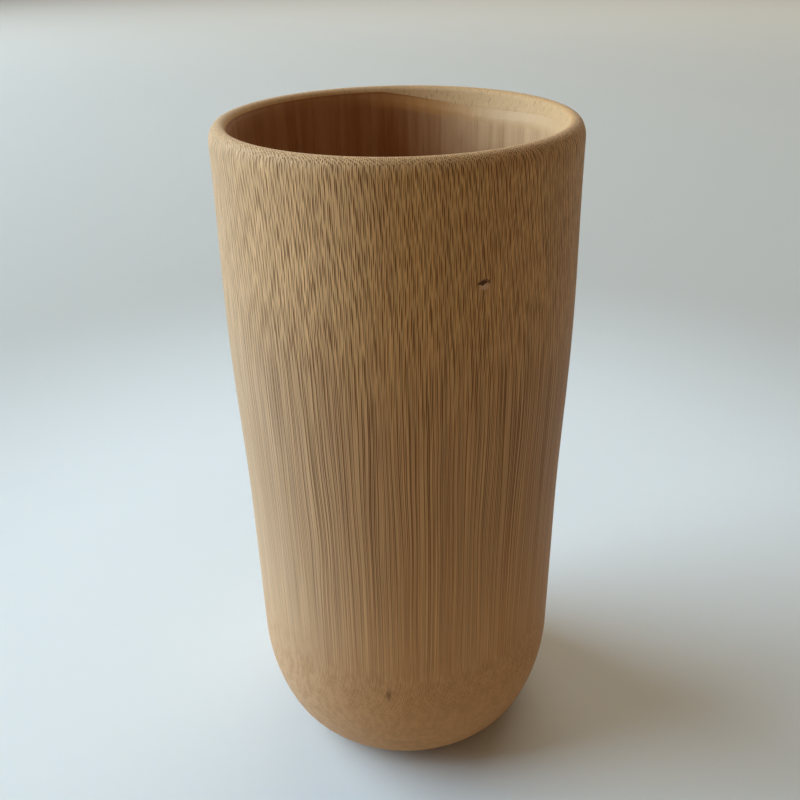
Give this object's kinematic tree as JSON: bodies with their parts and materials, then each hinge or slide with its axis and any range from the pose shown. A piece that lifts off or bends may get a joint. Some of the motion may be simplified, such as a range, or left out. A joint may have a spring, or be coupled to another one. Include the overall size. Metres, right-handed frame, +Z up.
{
  "type": "bamboo cup",
  "caption": "Handleless cup turned from one length of bamboo culm, with a rounded lip, a bevelled mouth, a rounded base and a natural node as its floor.",
  "frame": {"origin": "centre of the foot ring, on the plane that the cup stands on", "axes": "+Z up along the cane's axis, from the foot to the mouth; the cup is round, so X and Y are free"},
  "size_m": [0.0746, 0.0746, 0.15],
  "materials": {
    "culm_fibre": "turned and sanded culm fibre under a thin satin oil, with fine dark fibre bundles along the cane",
    "hollow_skin": "natural papery skin of the hollow, warm tan, oiled, with faint upright ripples",
    "septum": "sanded node tissue with short confused grain, oiled"
  },
  "bodies": {
    "root": {"culm_wall": "culm_fibre", "pith_lining": "hollow_skin", "node_diaphragm": "septum"}
  },
  "joints": []
}
